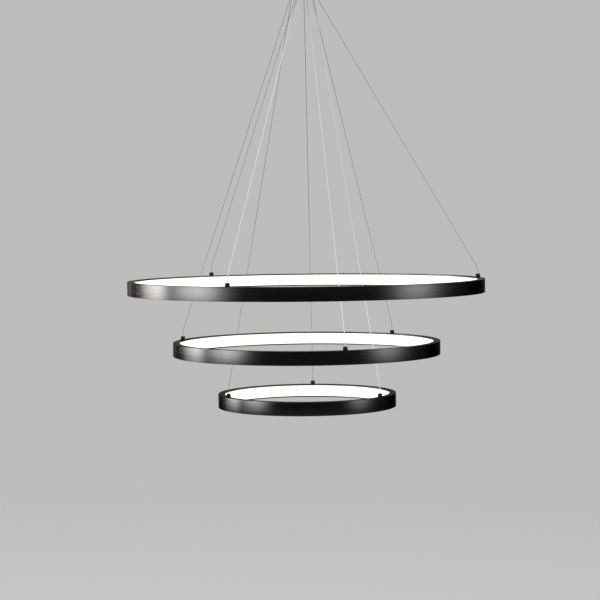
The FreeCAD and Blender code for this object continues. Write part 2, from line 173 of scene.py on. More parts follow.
def drive(shader, socket, value):
    """Feeds one of a shader's sockets from a Value."""
    value.tree.links.new(value.socket, shader.inputs[socket])


def emboss(shader, height, depth):
    """Bumps the surface by a height from 0 to 1, times a depth in metres."""
    sockets = {"Height": height, "Distance": depth, "Strength": 1.0}
    drive(shader, "Normal", height.node("ShaderNodeBump", {}, sockets))


def zinc_plate():
    """Spangled zinc: patches of slightly different grey and gloss, over faint rolling lines along X."""
    material, shader, start = new_finish("zinc_plate", Metallic=1.0)
    place = start.place()
    crystals = {"Vector": place, "Scale": 480.0}
    spangle = start.node("ShaderNodeTexVoronoi", {"feature": "F1"}, crystals, output=1)
    patch = start.node("ShaderNodeSeparateColor", {}, {"Color": spangle})
    rolled = start.noise(start.stretched(place, (20.0, 900.0, 900.0)), scale=1.0)
    mottle = patch * 0.7 + rolled * 0.3
    drive(shader, "Base Color", start.blend(mottle, (0.54, 0.54, 0.53, 1), (0.65, 0.65, 0.63, 1)))
    drive(shader, "Roughness", 0.3 + 0.12 * patch + 0.1 * rolled)
    emboss(shader, rolled + patch * 0.3, depth=0.00002)
    return material


def dressed(node, mesh, material):
    """Makes a mesh a piece that stands for a node and rides where it rides."""
    mesh.materials.clear()
    mesh.materials.append(material)
    piece = bpy.data.objects.new(node + "_finished", mesh)
    bpy.context.scene.collection.objects.link(piece)
    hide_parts(node)
    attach(piece, frame["nodes"][node]["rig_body"])
    return piece


def eased_copy(node, material, edge):
    """A finished piece in place of a flat-faced node: its triangles merged into flats, its edges rounded."""
    mesh = frame["nodes"][node].data.copy()
    work = bmesh.new()
    work.from_mesh(mesh)
    bmesh.ops.remove_doubles(work, verts=work.verts, dist=CORNERS_MEET_WITHIN)
    flat = math.radians(FLAT_WITHIN)
    bmesh.ops.dissolve_limit(work, angle_limit=flat, verts=work.verts, edges=work.edges)
    for face in work.faces:
        face.smooth = True
    work.to_mesh(mesh)
    work.free()
    piece = dressed(node, mesh, material)
    bevel = piece.modifiers.new("rounded edges", "BEVEL")
    bevel.width = edge
    bevel.segments = BEVEL_SEGMENTS
    bevel.limit_method = "ANGLE"
    bevel.angle_limit = math.radians(SHARP_ABOVE)
    bevel.harden_normals = True


zinc = zinc_plate()
eased_copy("ceiling_bracket", zinc, edge=0.0003)


# ---------------------------------------------------------------------------------------------------------
# The mains terminal block and the driver: moulded nylon housings, slightly matt, with softly rounded edges.
# Inside the driver, a solder-masked board carries its transformer, coil and capacitors.

BOARD_TOP = 0.0017


def moulded_plastic(name, colour, shade, rough):
    """Moulded plastic: fine spark-eroded grain with a faint cloudiness of colour."""
    material, shader, start = new_finish(name, Specular_IOR_Level=0.45)
    place = start.place()
    cloud = start.noise(place, scale=45.0)
    grain = start.noise(place, scale=2600.0, detail=2.0)
    drive(shader, "Base Color", start.blend(cloud, (*colour, 1), (*shade, 1)))
    drive(shader, "Roughness", rough + 0.12 * grain)
    emboss(shader, grain, depth=0.00003)
    return material


def circuit_board():
    """Green solder mask with copper tracks under it, and dark yellow on the parts above the board."""
    material, shader, start = new_finish("circuit_board", Roughness=0.35)
    place = start.place()
    board_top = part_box("driver_board")[0].z + BOARD_TOP
    above_board = start.maths("GREATER_THAN", start.axis(place, 2), board_top)
    bricks = {"Vector": place, "Scale": 90.0, "Mortar Size": 0.03}
    tracks = start.node("ShaderNodeTexBrick", {}, bricks, output=1)
    mask = start.blend(tracks, (0.02, 0.16, 0.06, 1), (0.06, 0.3, 0.12, 1))
    drive(shader, "Base Color", start.blend(above_board, mask, (0.3, 0.24, 0.05, 1)))
    emboss(shader, tracks, depth=0.00003)
    return material


white_nylon = moulded_plastic("white_nylon", (0.8, 0.8, 0.78), (0.86, 0.86, 0.83), rough=0.38)
black_nylon = moulded_plastic("black_nylon", (0.022, 0.022, 0.023), (0.035, 0.034, 0.033), rough=0.4)
for housing in ("terminal_block", "driver_case", "driver_lid"):
    eased_copy(housing, white_nylon, edge=0.0005)
eased_copy("driver_board", circuit_board(), edge=0.0001)


# ---------------------------------------------------------------------------------------------------------
# The canopy: a dish spun from sheet steel and powder-coated black, with a small round along its lower edge.
# Two tabs, bent up from its floor, hold the driver.

CANOPY_WALL = 0.0012
CANOPY_EDGE = 0.0016
CANOPY_RIM = 0.0003
CANOPY_CORNER = 0.0012
TAB_THICKNESS = 0.0012
TAB_HEIGHT = 0.014
TAB_HALF_WIDTH = 0.008
TAB_CLEARANCE = 0.0001
TAB_ROOT = 0.0003
TAB_EDGE = 0.0003
ROUND_STEPS = 7
SPIN_STEPS = 192
POINTS_MEET_WITHIN = 1e-7


def eased_outline(corners, reach):
    """Swaps each corner of a closed outline for a short parabola that starts and ends `reach` from it.

    Each curve is (1-t)^2 times its start, plus 2t(1-t) times the corner, plus t^2 times its end.
    """
    corners = np.asarray(corners, float)
    reach = np.broadcast_to(reach, len(corners))[:, None]
    back = np.roll(corners, 1, axis=0) - corners
    ahead = np.roll(corners, -1, axis=0) - corners
    start = corners + back / np.linalg.norm(back, axis=1, keepdims=True) * reach
    end = corners + ahead / np.linalg.norm(ahead, axis=1, keepdims=True) * reach
    t = np.linspace(0, 1, ROUND_STEPS)[None, :, None]
    curves = (1 - t) ** 2 * start[:, None] + 2 * t * (1 - t) * corners[:, None] + t ** 2 * end[:, None]
    return curves.reshape(-1, 2)


def grid_mesh(name, points, rows_close, columns_close, row_places, column_places):
    """A mesh over a grid of points. Quad (i, j) joins corners (i, j), (i+1, j), (i+1, j+1) and (i, j+1).

    Indices wrap where the grid closes. A corner's pattern place is (row_places[i], column_places[j]).
    """
    rows, columns = points.shape[:2]
    quad_rows = np.arange(rows - 1 + rows_close)
    quad_columns = np.arange(columns - 1 + columns_close)
    i, j = np.meshgrid(quad_rows, quad_columns, indexing="ij")
    corner_i = np.stack([i, i + 1, i + 1, i], -1).reshape(-1, 4)
    corner_j = np.stack([j, j, j + 1, j + 1], -1).reshape(-1, 4)
    faces = (corner_i % rows) * columns + corner_j % columns
    mesh = bpy.data.meshes.new(name)
    mesh.from_pydata(points.reshape(-1, 3).tolist(), [], faces.tolist())
    pattern = mesh.uv_layers.new(name="pattern")
    places = np.stack([np.asarray(row_places)[corner_i], np.asarray(column_places)[corner_j]], -1)
    pattern.data.foreach_set("uv", places.ravel())
    mesh.polygons.foreach_set("use_smooth", np.ones(len(faces), bool))
    return mesh


def travelled(points, closed):
    """How far along a row of points each one lies, in metres, with the way back to the first if it closes."""
    way = np.vstack([points, points[:1]]) if closed else points
    return np.concatenate([[0], np.cumsum(np.linalg.norm(np.diff(way, axis=0), axis=1))])


def spun(name, outline, centre=(0, 0, 0), steps=SPIN_STEPS):
    """A solid of revolution: the closed outline's point (r, z) goes to (r cos a, r sin a, z) for each a."""
    outline = np.asarray(outline, float)
    angle = np.linspace(0, 2 * np.pi, steps, endpoint=False)[:, None]
    radius, height = outline[:, 0], outline[:, 1]
    points = np.stack([radius * np.cos(angle), radius * np.sin(angle), height + 0 * angle], -1)
    row_places = np.linspace(0, 2 * np.pi * radius.max(), steps + 1)
    mesh = grid_mesh(name, points + np.asarray(centre), True, True, row_places, travelled(outline, True))
    return welded(mesh)


def welded(mesh):
    """Closes a mesh at its poles and seams by merging the points that lie together there."""
    work = bmesh.new()
    work.from_mesh(mesh)
    bmesh.ops.remove_doubles(work, verts=work.verts, dist=POINTS_MEET_WITHIN)
    along_the_axis = [edge for edge in work.edges if not edge.link_faces]
    bmesh.ops.delete(work, geom=along_the_axis, context="EDGES")
    work.to_mesh(mesh)
    work.free()
    return mesh


def joined(meshes):
    """One mesh from several, each left whole."""
    work = bmesh.new()
    for mesh in meshes:
        work.from_mesh(mesh)
    whole = bpy.data.meshes.new(meshes[0].name)
    work.to_mesh(whole)
    work.free()
    return whole


def block(name, low, high, edge):
    """A box with rounded edges between two opposite corners."""
    work = bmesh.new()
    bmesh.ops.create_cube(work, size=1.0)
    low, high = np.asarray(low), np.asarray(high)
    for vertex in work.verts:
        vertex.co = tuple(low + (np.array(vertex.co) + 0.5) * (high - low))
    bmesh.ops.bevel(work, geom=work.edges[:], offset=edge, segments=BEVEL_SEGMENTS, affect="EDGES")
    mesh = bpy.data.meshes.new(name)
    work.to_mesh(mesh)
    work.free()
    return mesh


def powder_coat():
    """Black powder coat: a fine orange-peel surface with a soft sheen."""
    material, shader, start = new_finish("powder_coat", Specular_IOR_Level=0.5)
    place = start.place()
    peel = start.noise(place, scale=900.0, detail=2.0)
    cloud = start.noise(place, scale=18.0)
    drive(shader, "Base Color", start.blend(cloud, (0.02, 0.0195, 0.019, 1), (0.03, 0.029, 0.028, 1)))
    drive(shader, "Roughness", 0.4 + 0.12 * peel)
    emboss(shader, peel, depth=0.00006)
    return material


def canopy():
    """The dish's outline runs out under its floor, up its outside, over its rim and back along its inside."""
    low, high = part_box("canopy_shell")
    outer = high.x
    inner = outer - CANOPY_WALL
    floor = low.z + CANOPY_WALL
    outline = eased_outline(
        [(0, floor), (0, low.z), (outer, low.z), (outer, high.z), (inner, high.z), (inner, floor)],
        [0, 0, CANOPY_EDGE, CANOPY_RIM, CANOPY_RIM, CANOPY_CORNER],
    )
    driver_low, driver_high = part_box("driver_case")
    middle = (driver_low.y + driver_high.y) / 2
    tabs = []
    for side in (-1, 1):
        near = side * (driver_high.x + TAB_CLEARANCE)
        far = near + side * TAB_THICKNESS
        tab_low = (min(near, far), middle - TAB_HALF_WIDTH, floor - TAB_ROOT)
        tab_high = (max(near, far), middle + TAB_HALF_WIDTH, floor + TAB_HEIGHT)
        tabs.append(block("tab", tab_low, tab_high, TAB_EDGE))
    return joined([spun("canopy_shell", outline)] + tabs)


dressed("canopy_shell", canopy(), powder_coat())


# ---------------------------------------------------------------------------------------------------------
# The two thumb screws in the canopy's side: turned steel with a knurled head, plated glossy black.
# Each passes through the canopy's wall into the bracket's tapped tab.

HEAD_RADIUS = 0.0045
HEAD_LENGTH = 0.005
HEAD_ROUND = 0.0006
HEAD_BACK_ROUND = 0.0004
SHANK_RADIUS = 0.002
SHANK_LENGTH = 0.009
SHANK_ROUND = 0.0004
NECK_ROUND = 0.0001
KNURLS = 28
KNURL_STEPS = 6
KNURL_DEPTH = 0.00025
KNURLED_BEYOND = 0.97 * HEAD_RADIUS


def black_plate():
    """Glossy black plating over turned metal: fine rings round the piece show as changes in gloss."""
    material, shader, start = new_finish("black_plate", Metallic=0.6)
    place = start.place()
    scuff = start.noise(place, scale=400.0)
    turning = start.noise(start.stretched(place, (60.0, 60.0, 6000.0)), scale=1.0)
    drive(shader, "Base Color", start.blend(scuff, (0.018, 0.017, 0.017, 1), (0.04, 0.038, 0.036, 1)))
    drive(shader, "Roughness", 0.16 + 0.12 * turning + 0.06 * scuff)
    emboss(shader, turning, depth=0.00002)
    return material


def thumb_screw(side):
    """A knurled head and a plain shank, spun about a line along X.

    On the head, the outline's radius is less by the knurls' depth times (1 - cos(knurls times the turn)).
    """
    low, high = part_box("canopy_screws")
    seat = high.x - HEAD_LENGTH
    outline = eased_outline(
        [
            (-SHANK_LENGTH, 0), (HEAD_LENGTH, 0), (HEAD_LENGTH, HEAD_RADIUS), (0, HEAD_RADIUS),
            (0, SHANK_RADIUS), (-SHANK_LENGTH, SHANK_RADIUS),
        ],
        [0, 0, HEAD_ROUND, HEAD_BACK_ROUND, NECK_ROUND, SHANK_ROUND],
    )
    along, radius = outline[:, 0], outline[:, 1]
    angle = np.linspace(0, 2 * np.pi, KNURLS * KNURL_STEPS, endpoint=False)[:, None]
    on_head = radius > KNURLED_BEYOND
    radius = radius - on_head * KNURL_DEPTH * (1 - np.cos(KNURLS * angle))
    x = side * (seat + along + 0 * angle)
    middle = (high.z + low.z) / 2
    points = np.stack([x, side * radius * np.sin(angle), middle + radius * np.cos(angle)], -1)
    places = np.linspace(0, 2 * np.pi * HEAD_RADIUS, len(angle) + 1)
    return welded(grid_mesh("canopy_screws", points, True, True, places, travelled(outline, True)))


black_steel = black_plate()
dressed("canopy_screws", joined([thumb_screw(1), thumb_screw(-1)]), black_steel)


# ---------------------------------------------------------------------------------------------------------
# The nine grips under the canopy, each held by a zinc-plated nut: six for wires, nickel-plated brass with a
# sprung nozzle that frees the wire when it is pushed up, and three for the feed cables, with a cap that
# squeezes the cable.

FIRST_LINES = {"large": 5.5, "medium": 45.5, "small": 85.5}
THIRD_OF_TURN = 120.0
EXIT_RADIUS = 0.0265
NOZZLE_RADIUS = 0.0023
NOZZLE_NECK = 0.94 * NOZZLE_RADIUS
NOZZLE_LIP = 0.0012
NOZZLE_SHOULDER = 1.3 * NOZZLE_LIP
NOZZLE_MOUTH = 0.0007
NOZZLE_EDGE = 0.0003
NOZZLE_STEPS = 40


def nickel_plate():
    """Bright nickel over turned brass, slightly warm, with fine turning marks."""
    material, shader, start = new_finish("nickel_plate", Metallic=1.0)
    place = start.place()
    haze = start.noise(place, scale=260.0)
    turning = start.noise(start.stretched(place, (80.0, 80.0, 5000.0)), scale=1.0)
    drive(shader, "Base Color", start.blend(haze, (0.6, 0.58, 0.54, 1), (0.72, 0.7, 0.66, 1)))
    drive(shader, "Roughness", 0.14 + 0.14 * turning)
    emboss(shader, turning, depth=0.00002)
    return material


def around(radius, bearing, height):
    """The point at a radius and a bearing from the lamp's axis."""
    angle = math.radians(bearing)
    return np.array([radius * math.cos(angle), radius * math.sin(angle), height])


def nozzle(node, bearing, material):
    """A round nozzle with a flared lip at its foot, drawn in to a mouth round the wire."""
    low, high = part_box(node)
    foot = low.z
    top = high.z
    outline = [
        (0, foot + NOZZLE_EDGE), (NOZZLE_MOUTH, foot + NOZZLE_EDGE), (NOZZLE_MOUTH + NOZZLE_EDGE, foot),
        (NOZZLE_RADIUS - NOZZLE_EDGE, foot), (NOZZLE_RADIUS, foot + NOZZLE_EDGE),
        (NOZZLE_RADIUS, foot + NOZZLE_LIP), (NOZZLE_NECK, foot + NOZZLE_SHOULDER),
        (NOZZLE_NECK, top - NOZZLE_EDGE), (NOZZLE_NECK - NOZZLE_EDGE, top), (0, top),
    ]
    mesh = spun(node, outline, around(EXIT_RADIUS, bearing, 0), NOZZLE_STEPS)
    dressed(node, mesh, material)


nickel = nickel_plate()
eased_copy("wire_grips", nickel, edge=0.0004)
eased_copy("cable_grips", black_steel, edge=0.0004)
eased_copy("cable_grip_caps", black_nylon, edge=0.0006)
eased_copy("grip_nuts", zinc, edge=0.0003)
for ring_name, first_line in FIRST_LINES.items():
    nozzle(ring_name + "_plunger_1", first_line, nickel)
    nozzle(ring_name + "_plunger_2", first_line + THIRD_OF_TURN, nickel)


# ---------------------------------------------------------------------------------------------------------
# The leads inside the canopy: two brown ones from the terminal block to the driver, and the three feed
# cables' own upper ends, which rise out of their grips and lie over to the driver's output terminals.

LEAD_DIAMETER = 0.0022
LEAD_EXIT_RUN = 0.010
LEAD_BLOCK_AND_DRIVER_X = ((0.068, 0.056), (0.074, 0.062))
CABLE_DIAMETER = 0.002
TAIL_RISE = 0.009
TUBE_SIDES = 20
CURVE_STEPS = 16


def smooth_line(name, route):
    """The points of a smooth curve of order 3 that the route's points pull into shape."""
    curve = bpy.data.curves.new(name, "CURVE")
    curve.dimensions = "3D"
    curve.resolution_u = CURVE_STEPS
    spline = curve.splines.new("NURBS")
    spline.points.add(len(route) - 1)
    for point, place in zip(spline.points, route):
        point.co = (*place, 1)
    spline.order_u = 3
    spline.use_endpoint_u = True
    guide = bpy.data.objects.new(name, curve)
    bpy.context.scene.collection.objects.link(guide)
    bpy.context.view_layer.update()
    line = bpy.data.meshes.new_from_object(guide)
    places = np.empty(len(line.vertices) * 3)
    line.vertices.foreach_get("co", places)
    bpy.data.objects.remove(guide)
    bpy.data.meshes.remove(line)
    return places.reshape(-1, 3)


def tube_mesh(name, line, radius):
    """A round tube along a line that lies in one plane.

    Each ring is the line's point, plus radius times (cos a) of the plane's normal and (sin a) of the
    direction square to it and to the line. Its pattern place is (metres along the line, share of a turn).
    """
    ahead = np.gradient(line, axis=0)
    ahead /= np.linalg.norm(ahead, axis=1, keepdims=True)
    normal = np.cross(ahead[0], line[-1] - line[0])
    across = np.cross(ahead[0], line[len(line) // 2] - line[0])
    normal = across if np.linalg.norm(across) > np.linalg.norm(normal) else normal
    normal = normal / np.linalg.norm(normal)
    side = np.cross(normal, ahead)
    angle = np.linspace(0, 2 * np.pi, TUBE_SIDES, endpoint=False)[None, :, None]
    points = line[:, None] + radius * (np.cos(angle) * normal + np.sin(angle) * side[:, None])
    turns = np.linspace(0, 1, TUBE_SIDES + 1)
    return capped(grid_mesh(name, points, False, True, travelled(line, False), turns))


def capped(mesh):
    """Closes the open ends of a mesh with flat faces and turns all of its faces outwards."""
    work = bmesh.new()
    work.from_mesh(mesh)
    open_edges = [edge for edge in work.edges if edge.is_boundary]
    bmesh.ops.holes_fill(work, edges=open_edges, sides=0)
    bmesh.ops.recalc_face_normals(work, faces=work.faces)
    work.to_mesh(mesh)
    work.free()
    return mesh


def insulation(name, colour, shade):
    """Extruded insulation: smooth and glossy, with faint streaks along it."""
    material, shader, start = new_finish(name, Specular_IOR_Level=0.5, Coat_Weight=0.15)
    streak = start.noise(start.stretched(start.pattern(), (12.0, 9.0, 1.0)), scale=1.0)
    drive(shader, "Base Color", start.blend(streak, (*colour, 1), (*shade, 1)))
    drive(shader, "Roughness", 0.24 + 0.1 * streak)
    emboss(shader, streak, depth=0.00003)
    return material


block_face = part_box("terminal_block")[0].y
driver_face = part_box("driver_case")[1].y
leads_low, leads_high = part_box("mains_leads")
block_height = leads_high.z - LEAD_DIAMETER / 2
driver_height = leads_low.z + LEAD_DIAMETER / 2
lead_meshes = []
for block_x, driver_x in LEAD_BLOCK_AND_DRIVER_X:
    lead_line = smooth_line("lead", [
        (block_x, block_face, block_height),
        (block_x, block_face - LEAD_EXIT_RUN, block_height),
        (driver_x, driver_face + LEAD_EXIT_RUN, driver_height),
        (driver_x, driver_face, driver_height),
    ])
    lead_meshes.append(tube_mesh("mains_leads", lead_line, LEAD_DIAMETER / 2))
brown_lead = insulation("brown_lead", (0.15, 0.06, 0.03), (0.2, 0.085, 0.045))
dressed("mains_leads", joined(lead_meshes), brown_lead)

tails_low, tails_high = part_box("feed_tails")
tail_height = tails_high.z - CABLE_DIAMETER / 2
tail_meshes = []
for first_line in FIRST_LINES.values():
    foot = around(EXIT_RADIUS, first_line + 2 * THIRD_OF_TURN, tails_low.z)
    bend = foot + (0, 0, TAIL_RISE)
    slant = tail_height - bend[2]
    end = (foot[0], driver_face, tail_height)
    tail_line = smooth_line("tail", [foot, bend, bend + (0, -slant, slant), end])
    tail_meshes.append(tube_mesh("feed_tails", tail_line, CABLE_DIAMETER / 2))
clear_jacket = insulation("clear_jacket", (0.9, 0.9, 0.88), (0.95, 0.95, 0.93))
dressed("feed_tails", joined(tail_meshes), clear_jacket)


# ---------------------------------------------------------------------------------------------------------
# The nine suspension lines: two steel wires and one feed cable to each ring, pulled straight by its weight.
# The wires are bright strands laid round each other; the cables have a smooth pale jacket.

WIRE_DIAMETER = 0.0012
RING_WIDTH = 0.015
BARREL_HEIGHT = 0.008
EXIT_BELOW_GRIP = 0.0035
EXIT_RUN = 0.008
ANCHOR_RUN = 0.012
STRANDS = 6
LAY_LENGTH = 0.009
TRAVEL = 0.25
INSIDE_NOZZLE = 0.0022


def stranded_steel():
    """Bright strands in a helix, with painted shade in the grooves between them.

    The height is the sine of strands times (the turn, plus metres over lay).
    """
    material, shader, start = new_finish("stranded_steel", Metallic=1.0)
    pattern = start.pattern()
    along = start.axis(pattern, 0)
    turn = start.axis(pattern, 1)
    phase = 2 * math.pi * STRANDS * turn + along * (2 * math.pi * STRANDS / LAY_LENGTH)
    strand = 0.5 + 0.5 * start.maths("SINE", phase)
    # Painted shade: the colour darkens from the strands' crowns into the grooves between them.
    drive(shader, "Base Color", start.blend(strand, (0.4, 0.4, 0.39, 1), (0.7, 0.7, 0.68, 1)))
    drive(shader, "Roughness", 0.52 - 0.1 * strand)
    emboss(shader, strand, depth=0.00001)
    return material


def line_route(name, bearing):
    """A line's chosen points: straight down out of its grip, across to its ring, straight down to its end."""
    ring_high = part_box(name + "_channel")[1]
    line_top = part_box("wire_grips")[0].z - EXIT_BELOW_GRIP
    exit_point = around(EXIT_RADIUS, bearing, line_top)
    barrel = around(ring_high.x - RING_WIDTH / 2, bearing, ring_high.z + BARREL_HEIGHT)
    first_bend = exit_point - (0, 0, EXIT_RUN)
    last_bend = barrel + (0, 0, ANCHOR_RUN)
    run = (last_bend - first_bend) / np.linalg.norm(last_bend - first_bend)
    return [
        exit_point, first_bend, first_bend + EXIT_RUN * run,
        last_bend - ANCHOR_RUN * run, last_bend, barrel,
    ]


def hang(name, ending, bearing, diameter, material):
    """One line, from its grip down to its ring's barrel.

    Its tube starts a little above its exit, inside the nozzle, so that it still meets a pressed nozzle.
    """
    node = f"{name}_{ending}"
    line = smooth_line(node, line_route(name, bearing))
    inside = line[0] + (0, 0, INSIDE_NOZZLE)
    piece = dressed(node, tube_mesh(node, np.vstack([inside, line]), diameter / 2), material)
    keep = 1 - TRAVEL / (inside[2] - line[-1][2])
    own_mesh(piece)


steel_wire = stranded_steel()
for ring_name, first_line in FIRST_LINES.items():
    second_line = first_line + THIRD_OF_TURN
    third_line = second_line + THIRD_OF_TURN
    hang(ring_name, "wire_1", first_line, WIRE_DIAMETER, steel_wire)
    hang(ring_name, "wire_2", second_line, WIRE_DIAMETER, steel_wire)
    hang(ring_name, "feed_cable", third_line, CABLE_DIAMETER, clear_jacket)


# ---------------------------------------------------------------------------------------------------------
# The ring channels: aluminium extrusion, open towards the centre, rolled to a circle and joined at one seam.
# The outside is brushed round the ring and anodised black, so it stays dark with soft upright highlights.

WALL = 0.0016
FLANGE = 0.0023
CHANNEL_EDGE = 0.00035
SEAM_GAP = 0.0003
SEAM_AFTER_FIRST_LINE = 60.0
RING_STEPS = {"large": 720, "medium": 576, "small": 432}


def brushed_black():
    """Black anodising over brushing that runs round the ring: long thin streaks, in two widths."""
    material, shader, start = new_finish(
        "brushed_black", Metallic=1.0, Anisotropic=0.4, Specular_Tint=(0.25, 0.25, 0.25, 1),
    )
    pattern = start.pattern()
    fine = start.noise(start.stretched(pattern, (9.0, 1500.0, 1.0)), scale=1.0, detail=2.0)
    broad = start.noise(start.stretched(pattern, (4.0, 330.0, 1.0)), scale=1.0)
    cloud = start.noise(start.place(), scale=7.0)
    streak = 0.55 * fine + 0.45 * broad
    tint = streak * 0.8 + cloud * 0.2
    drive(shader, "Base Color", start.blend(tint, (0.033, 0.0322, 0.0318, 1), (0.094, 0.092, 0.091, 1)))
    drive(shader, "Roughness", 0.08 + 0.2 * streak)
    emboss(shader, streak, depth=0.000006)
    return material


def swept_ring(name, outline, bearing, steps):
    """An outline of (radius, height) carried round from one side of the seam to the other.

    Point (r, z) goes to (r cos a, r sin a, z), with a from the seam's bearing plus half its gap over r, to a
    full turn less the same, and both ends are closed.
    """
    share = np.linspace(0, 1, steps)[:, None]
    radius, height = outline[:, 0], outline[:, 1]
    margin = SEAM_GAP / 2 / radius
    angle = math.radians(bearing) + margin + (2 * np.pi - 2 * margin) * share
    points = np.stack([radius * np.cos(angle), radius * np.sin(angle), height + 0 * angle], -1)
    row_places = 2 * np.pi * radius.max() * share[:, 0]
    return capped(grid_mesh(name, points, False, True, row_places, travelled(outline, True)))


def channel(name, bearing, material):
    """The extrusion's outline: web outside, two flanges, thin round edges."""
    low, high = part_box(name + "_channel")
    outer = high.x
    inner = high.x - RING_WIDTH
    wall = high.x - WALL
    outline = eased_outline(
        [
            (outer, low.z), (outer, high.z), (inner, high.z), (inner, high.z - FLANGE),
            (wall, high.z - FLANGE), (wall, low.z + FLANGE), (inner, low.z + FLANGE), (inner, low.z),
        ],
        CHANNEL_EDGE,
    )
    mesh = swept_ring(name + "_channel", outline, bearing, RING_STEPS[name])
    dressed(name + "_channel", mesh, material)


anodised = brushed_black()
for ring_name, first_line in FIRST_LINES.items():
    channel(ring_name, first_line + SEAM_AFTER_FIRST_LINE, anodised)


# ---------------------------------------------------------------------------------------------------------
# Inside each channel: the LED strip in flat cut lengths on the web, the clip that feeds it, and the nuts on
# the barrels' studs. The strip is a white board with a row of yellow phosphor chips.

CHIP_PITCH = 0.0083
CHIP_SIDE = 0.0028
CHIP_HALF_SHARE = 0.17


def led_board(name, radius, middle):
    """White solder mask with a row of glowing phosphor squares, and a faint painted glow on the mask.

    The turn times the radius is counted in chip pitches, and a chip fills the middle third of each.
    """
    material, shader, start = new_finish(name + "_led_board", Roughness=0.4, Emission_Strength=0.6)
    place = start.place()
    turn = start.maths("ARCTAN2", start.axis(place, 1), start.axis(place, 0))
    pitches = turn * (round(2 * math.pi * radius / CHIP_PITCH) / (2 * math.pi))
    along = start.maths("PINGPONG", pitches, 0.5)
    across = start.maths("ABSOLUTE", start.axis(place, 2) - middle)
    in_pitch = start.maths("LESS_THAN", along, CHIP_HALF_SHARE)
    in_row = start.maths("LESS_THAN", across, CHIP_SIDE / 2)
    chip = in_pitch * in_row
    grain = start.noise(place, scale=800.0)
    white = start.blend(grain, (0.8, 0.79, 0.76, 1), (0.88, 0.87, 0.84, 1))
    drive(shader, "Base Color", start.blend(chip, white, (0.85, 0.62, 0.12, 1)))
    # The chips glow as the strip's LEDs; the board between them gets a faint painted glow too, though it is
    # no lamp.
    drive(shader, "Emission Color", start.blend(chip, (0.25, 0.23, 0.2, 1), (1.0, 0.86, 0.6, 1)))
    emboss(shader, chip, depth=0.0003)
    return material


for ring_name in FIRST_LINES:
    strip_low, strip_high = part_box(ring_name + "_led_strip")
    board = led_board(ring_name, strip_high.x, (strip_low.z + strip_high.z) / 2)
    eased_copy(ring_name + "_led_strip", board, edge=0.0001)
    eased_copy(ring_name + "_strip_clip", white_nylon, edge=0.0004)
    eased_copy(ring_name + "_anchor_nuts", zinc, edge=0.0002)


# ---------------------------------------------------------------------------------------------------------
# The diffusers: opal bands sprung in between the channels' flanges, just inside their edges. Lit from
# behind they glow an even warm white. Along both edges the glow is painted dimmer and warmer, as shade
# from the flanges' lips.

DIFFUSER_SETBACK = 0.0008
DIFFUSER_THICKNESS = 0.0012
DIFFUSER_EDGE = 0.0003
GLOW = 1.3
SHADED_EDGE = 0.0022


def opal(name, middle, half_height):
    """Opal plastic lit from behind, with painted shade: near both edges the glow falls and turns warm."""
    material, shader, start = new_finish(name + "_opal", Roughness=0.5, Emission_Strength=GLOW)
    place = start.place()
    haze = start.noise(start.stretched(start.pattern(), (40.0, 40.0, 1.0)), scale=1.0)
    grain = start.noise(place, scale=1800.0)
    from_edge = half_height - start.maths("ABSOLUTE", start.axis(place, 2) - middle)
    # Painted shade: within SHADED_EDGE of both edges, under the flanges' lips, the glow falls to a dim warm
    # brown.
    lit = start.rise(from_edge, 0.0, SHADED_EDGE)
    even = start.blend(haze, (1.0, 0.945, 0.84, 1), (1.0, 0.965, 0.88, 1))
    drive(shader, "Base Color", start.blend(haze, (0.86, 0.85, 0.82, 1), (0.91, 0.9, 0.88, 1)))
    drive(shader, "Emission Color", start.blend(lit, (0.24, 0.13, 0.07, 1), even))
    emboss(shader, grain, depth=0.00001)
    return material


def diffuser(name, bearing):
    """A flat band with small round corners."""
    low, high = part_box(name + "_diffuser")
    ring_low, ring_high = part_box(name + "_channel")
    face = ring_high.x - RING_WIDTH + DIFFUSER_SETBACK
    back = face + DIFFUSER_THICKNESS
    corners = [(face, high.z), (face, low.z), (back, low.z), (back, high.z)]
    outline = eased_outline(corners, DIFFUSER_EDGE)
    mesh = swept_ring(name + "_diffuser", outline, bearing, RING_STEPS[name])
    middle = (ring_high.z + ring_low.z) / 2
    half_height = (ring_high.z - ring_low.z) / 2 - FLANGE
    dressed(name + "_diffuser", mesh, opal(name, middle, half_height))


for ring_name, first_line in FIRST_LINES.items():
    diffuser(ring_name, first_line + SEAM_AFTER_FIRST_LINE)


# ---------------------------------------------------------------------------------------------------------
# The nine barrels in which the lines end: turned and plated glossy black, chamfered at both ends, with a
# small collar round the line, set off by a groove, and a stud down through the channel's flange.

BARREL_RADIUS = 0.005
BARREL_CHAMFER = 0.0007
BARREL_FOOT = 0.0003
BARREL_STEPS = 48
STUD_RADIUS = 0.0025
STUD_CHAMFER = 0.0004
GROOVE_RADIUS_AND_DEPTH = ((0.0021, 0), (0.0018, 0.0004), (0.0012, 0.0004), (0.0010, 0))


